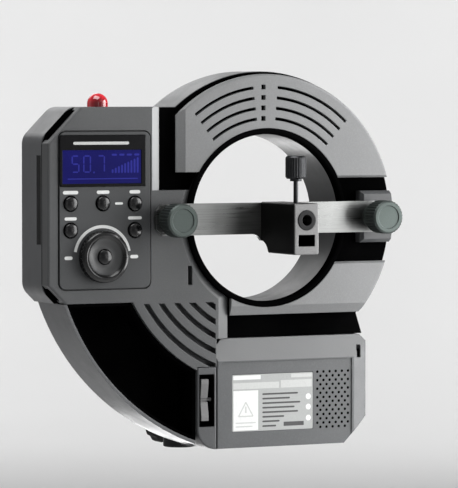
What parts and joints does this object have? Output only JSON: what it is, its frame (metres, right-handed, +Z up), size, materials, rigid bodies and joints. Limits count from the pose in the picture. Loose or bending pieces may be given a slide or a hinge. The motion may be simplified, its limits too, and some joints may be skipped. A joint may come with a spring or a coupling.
{
  "type": "ring monolight strobe",
  "caption": "Ring-shaped studio flash head with a lens opening, side control panel, slide-out battery, umbrella bracket and tilting stand mount.",
  "frame": {"origin": "centre of the stand socket's mouth, where the stand's spigot enters", "axes": "+Z up along the stand, +Y the way the light goes, +X to the operator's right as they face the panel"},
  "size_m": [0.296, 0.1787, 0.292],
  "materials": {
    "shell_grey": "satin",
    "cover_grey": "satin",
    "panel_grey": "fine texture",
    "black": "matte",
    "gloss_black": "glossy",
    "display_blue": "glossy",
    "red_lens": "glossy",
    "knob_metal": "dark anodised",
    "bar_metal": "brushed",
    "steel": "brushed",
    "rubber": "matte",
    "battery_grey": "fine texture",
    "label": "printed",
    "cell_wrap": "shrink wrap",
    "brass": "polished",
    "board_green": "solder mask",
    "foil": "sleeve",
    "lamp_glass": "clear",
    "opal": "frosted",
    "mirror": "polished",
    "bezel_chrome": "satin"
  },
  "bodies": {
    "mount": {"stand_socket": "black"},
    "stand_lock": {"stand_lock_knob": "rubber"},
    "lever": {"tilt_lever": "black"},
    "flap": {"side_port_flap": "rubber"},
    "dial": {"dial": "gloss_black"},
    "set_key": {"set_button": "gloss_black"},
    "mode_key": {"button_mode": "gloss_black"},
    "left_key": {"button_left": "gloss_black"},
    "right_key": {"button_right": "gloss_black"},
    "slave_key": {"button_slave": "gloss_black"},
    "lamp_key": {"button_lamp": "gloss_black"},
    "battery": {"battery_case": "battery_grey", "battery_label": "label", "battery_cells": "cell_wrap"},
    "catch": {"battery_catch": "black"},
    "rocker": {"power_rocker": "cover_grey"},
    "knob_left": {"bracket_knob_left": "knob_metal"},
    "knob_right": {"bracket_knob_right": "knob_metal"},
    "clamp": {"clamp_screw": "knob_metal"},
    "head": {"front_shell": "shell_grey", "rear_cover": "shell_grey", "panel_plate": "panel_grey", "display_bezel": "gloss_black", "display_module": "display_blue", "ring_cover_upper": "cover_grey", "ring_cover_lower": "cover_grey", "ring_deck": "black", "seam_gasket": "black", "rocker_frame": "black", "bracket_pad_right": "black", "barrel": "shell_grey", "rear_lip": "black", "reflector": "mirror", "trigger_wire": "steel", "diffuser": "opal", "front_bezel": "bezel_chrome", "flash_tube": "lamp_glass", "tube_electrode_left": "steel", "tube_electrode_right": "steel", "sensor_dome": "red_lens", "side_port_block": "black", "control_board": "board_green", "dial_encoder": "black", "main_board": "board_green", "capacitor_left": "foil", "capacitor_right": "foil", "trigger_transformer": "black", "grip_tray": "black", "latch_block": "shell_grey", "battery_terminals": "brass", "bracket_bar": "bar_metal", "shaft_holder": "knob_metal", "shaft_bushing": "black", "tilt_bracket": "knob_metal", "mount_screw_1": "steel", "mount_screw_2": "steel", "mount_screw_3": "steel", "mount_screw_4": "steel", "hinge_bolt": "steel"}
  },
  "joints": [
    {"name": "head_tilt", "type": "hinge", "parent": "mount", "child": "head", "pos_m": [0, 0, 0.046], "axis": [1, 0, 0], "range_deg": [-60, 8]},
    {"name": "tilt_lever_turn", "type": "hinge", "parent": "head", "child": "lever", "pos_m": [0.02, 0, 0.046], "axis": [1, 0, 0], "range_deg": [-55, 55]},
    {"name": "stand_lock_turn", "type": "hinge", "parent": "mount", "child": "stand_lock", "pos_m": [0, 0.03, 0.013], "axis": [0, 1, 0], "continuous": true},
    {"name": "bracket_knob_left_turn", "type": "hinge", "parent": "head", "child": "knob_left", "pos_m": [-0.048, -0.092, 0.18], "axis": [0, 1, 0], "continuous": true},
    {"name": "bracket_knob_right_turn", "type": "hinge", "parent": "head", "child": "knob_right", "pos_m": [0.128, -0.092, 0.18], "axis": [0, 1, 0], "continuous": true},
    {"name": "clamp_screw_turn", "type": "hinge", "parent": "head", "child": "clamp", "pos_m": [0.04, -0.118, 0.21], "axis": [0, 0, 1], "continuous": true},
    {"name": "dial_turn", "type": "hinge", "parent": "head", "child": "dial", "pos_m": [-0.1, -0.077, 0.153], "axis": [0, 1, 0], "continuous": true},
    {"name": "set_key_press", "type": "slide", "parent": "head", "child": "set_key", "axis": [0, 1, 0], "range_m": [0, 0.0008], "stiffness_N_per_m": 600},
    {"name": "mode_key_press", "type": "slide", "parent": "head", "child": "mode_key", "axis": [0, 1, 0], "range_m": [0, 0.0008], "stiffness_N_per_m": 600},
    {"name": "left_key_press", "type": "slide", "parent": "head", "child": "left_key", "axis": [0, 1, 0], "range_m": [0, 0.0008], "stiffness_N_per_m": 600},
    {"name": "right_key_press", "type": "slide", "parent": "head", "child": "right_key", "axis": [0, 1, 0], "range_m": [0, 0.0008], "stiffness_N_per_m": 600},
    {"name": "slave_key_press", "type": "slide", "parent": "head", "child": "slave_key", "axis": [0, 1, 0], "range_m": [0, 0.0008], "stiffness_N_per_m": 600},
    {"name": "lamp_key_press", "type": "slide", "parent": "head", "child": "lamp_key", "axis": [0, 1, 0], "range_m": [0, 0.0008], "stiffness_N_per_m": 600},
    {"name": "battery_slide", "type": "slide", "parent": "head", "child": "battery", "axis": [1, 0, 0], "range_m": [0, 0.14]},
    {"name": "battery_catch_slide", "type": "slide", "parent": "battery", "child": "catch", "axis": [0, 0, 1], "range_m": [0, 0.0026], "stiffness_N_per_m": 300},
    {"name": "power_rocker_tip", "type": "hinge", "parent": "head", "child": "rocker", "pos_m": [-0.0118, -0.067, 0.042], "axis": [1, 0, 0], "range_deg": [-5, 5], "stiffness_Nm_per_rad": 0.6},
    {"name": "port_flap_open", "type": "hinge", "parent": "head", "child": "flap", "pos_m": [-0.1432, -0.052, 0.1955], "axis": [0, 0, -1], "range_deg": [0, 95]}
  ]
}
